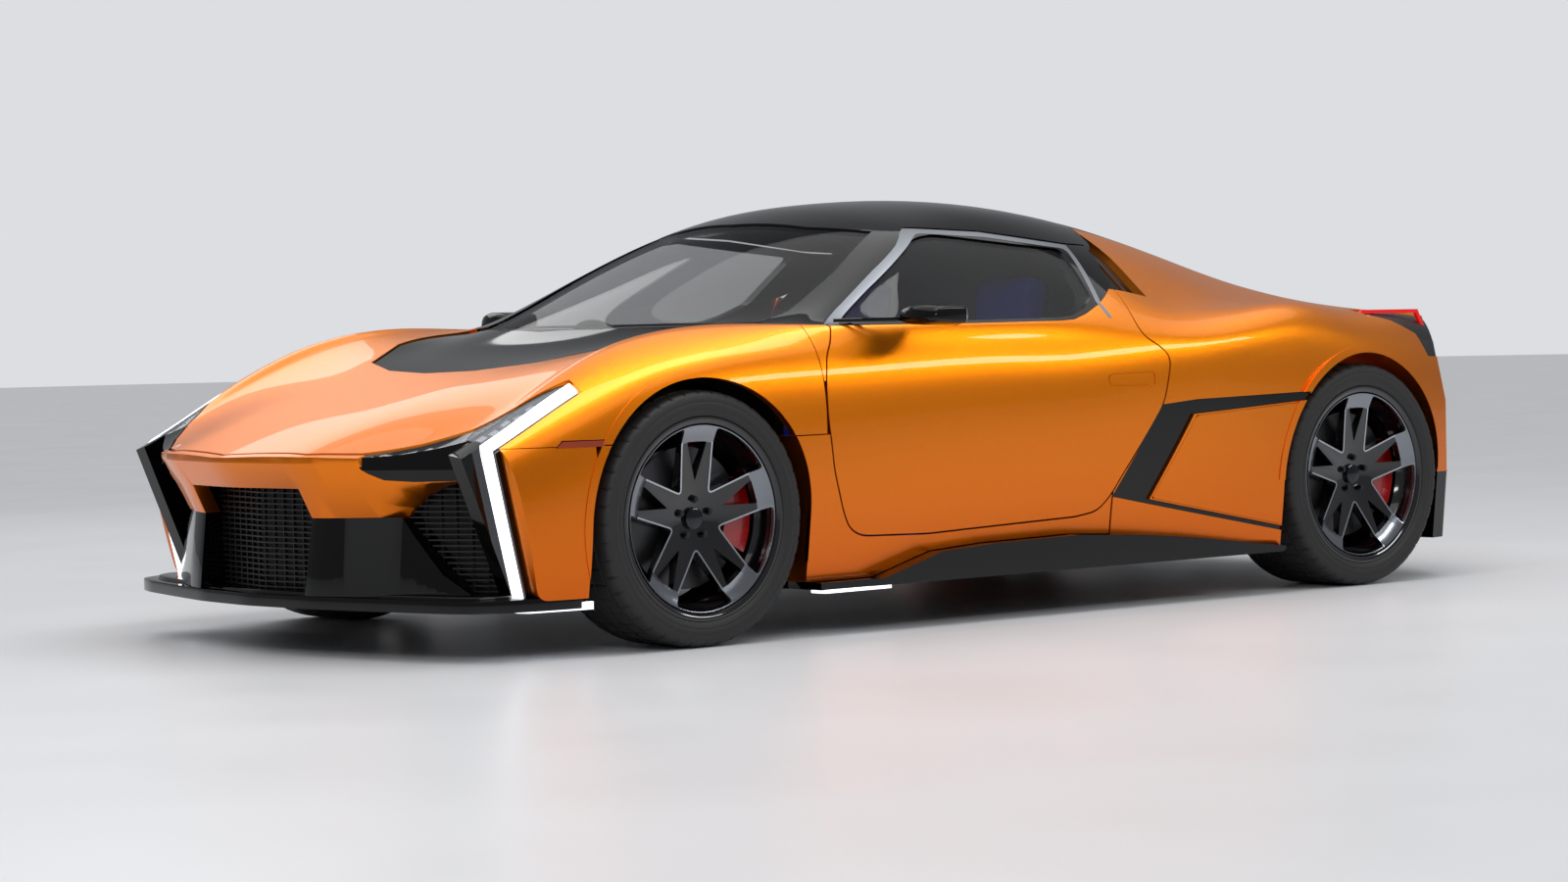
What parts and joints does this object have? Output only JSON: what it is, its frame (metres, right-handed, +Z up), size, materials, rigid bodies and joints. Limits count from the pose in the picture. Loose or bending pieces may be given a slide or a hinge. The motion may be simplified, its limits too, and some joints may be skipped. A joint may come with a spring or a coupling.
{
  "type": "supercar",
  "caption": "Low wedge-shaped two-seat electric supercar with opening doors, front lid and rear hatch, steered front wheels and spinning disc-braked wheels.",
  "frame": {"origin": "on the floor under the middle of the car's length and width", "axes": "+X forwards, +Y to the car's left, +Z up"},
  "size_m": [4.38, 2.124, 1.226],
  "materials": {
    "orange_paint": "candy metallic orange under clear coat",
    "gloss_black": "piano black gloss",
    "matt_black": "moulded matt black",
    "carbon_black": "satin composite",
    "satin_grey": "satin anodised",
    "tinted_glass": "dark tinted",
    "white_light": "lit white diffuser",
    "red_light": "red lamp line",
    "blue_upholstery": "blue suede-like cloth",
    "cast_housing": "cast and coated",
    "red_caliper": "gloss red",
    "brake_iron": "turned",
    "black_alloy": "gloss black with machined edges",
    "tyre_rubber": "moulded rubber"
  },
  "bodies": {
    "chassis": {"floor_tub": "carbon_black", "front_structure": "carbon_black", "nose_panel": "orange_paint", "splitter": "gloss_black", "grilles": "matt_black", "light_bars": "white_light", "lamp_housings": "gloss_black", "front_corners": "orange_paint", "scuttle_corners": "orange_paint", "cowl_panel": "gloss_black", "windscreen": "tinted_glass", "roof": "gloss_black", "rear_body": "orange_paint", "intake_blades": "gloss_black", "intake_panels": "orange_paint", "side_sills": "orange_paint", "side_skirts": "gloss_black", "tail_fascia": "matt_black", "tail_lamps": "red_light", "diffuser": "gloss_black", "seats": "blue_upholstery", "dashboard": "matt_black", "steering_wheel": "matt_black", "battery_pack": "cast_housing", "drive_unit": "cast_housing", "suspension_arms": "cast_housing", "rear_uprights": "cast_housing", "rear_calipers": "red_caliper"},
    "front_lid": {"front_lid": "orange_paint"},
    "rear_hatch": {"rear_hatch": "gloss_black"},
    "door_left": {"door_left": "orange_paint", "window_frame_left": "satin_grey", "door_glass_left": "tinted_glass", "mirror_left": "gloss_black"},
    "knuckle_left": {"knuckle_left": "cast_housing", "caliper_left": "red_caliper"},
    "wheel_front_left": {"front_disc_left": "brake_iron", "front_rim_left": "black_alloy", "front_tyre_left": "tyre_rubber"},
    "wheel_rear_left": {"rear_disc_left": "brake_iron", "rear_rim_left": "black_alloy", "rear_tyre_left": "tyre_rubber"},
    "door_right": {"door_right": "orange_paint", "window_frame_right": "satin_grey", "door_glass_right": "tinted_glass", "mirror_right": "gloss_black"},
    "knuckle_right": {"knuckle_right": "cast_housing", "caliper_right": "red_caliper"},
    "wheel_front_right": {"front_disc_right": "brake_iron", "front_rim_right": "black_alloy", "front_tyre_right": "tyre_rubber"},
    "wheel_rear_right": {"rear_disc_right": "brake_iron", "rear_rim_right": "black_alloy", "rear_tyre_right": "tyre_rubber"}
  },
  "joints": [
    {"name": "door_left_hinge", "type": "hinge", "parent": "chassis", "child": "door_left", "pos_m": [0.816, 0.926, 0.6], "axis": [0, 0, -1], "range_deg": [0, 62]},
    {"name": "door_right_hinge", "type": "hinge", "parent": "chassis", "child": "door_right", "pos_m": [0.816, -0.926, 0.6], "axis": [0, 0, 1], "range_deg": [0, 62]},
    {"name": "front_lid_hinge", "type": "hinge", "parent": "chassis", "child": "front_lid", "pos_m": [2.162, 0, 0.543], "axis": [0, 1, 0], "range_deg": [0, 55]},
    {"name": "rear_hatch_hinge", "type": "hinge", "parent": "chassis", "child": "rear_hatch", "pos_m": [-0.628, 0, 1.174], "axis": [0, 1, 0], "range_deg": [0, 50]},
    {"name": "steer_left", "type": "hinge", "parent": "chassis", "child": "knuckle_left", "pos_m": [1.245, 0.7655, 0.3445], "axis": [0, 0, 1], "range_deg": [-28, 28]},
    {"name": "steer_right", "type": "hinge", "parent": "chassis", "child": "knuckle_right", "pos_m": [1.245, -0.7655, 0.3445], "axis": [0, 0, 1], "range_deg": [-28, 28]},
    {"name": "spin_front_left", "type": "hinge", "parent": "knuckle_left", "child": "wheel_front_left", "pos_m": [1.245, 0.79, 0.3445], "axis": [0, 1, 0], "continuous": true},
    {"name": "spin_rear_left", "type": "hinge", "parent": "chassis", "child": "wheel_rear_left", "pos_m": [-1.405, 0.77, 0.3445], "axis": [0, 1, 0], "continuous": true},
    {"name": "spin_front_right", "type": "hinge", "parent": "knuckle_right", "child": "wheel_front_right", "pos_m": [1.245, -0.79, 0.3445], "axis": [0, 1, 0], "continuous": true},
    {"name": "spin_rear_right", "type": "hinge", "parent": "chassis", "child": "wheel_rear_right", "pos_m": [-1.405, -0.77, 0.3445], "axis": [0, 1, 0], "continuous": true}
  ],
  "couplings": [
    {"joint": "steer_right", "follows": "steer_left", "ratio": 1}
  ]
}
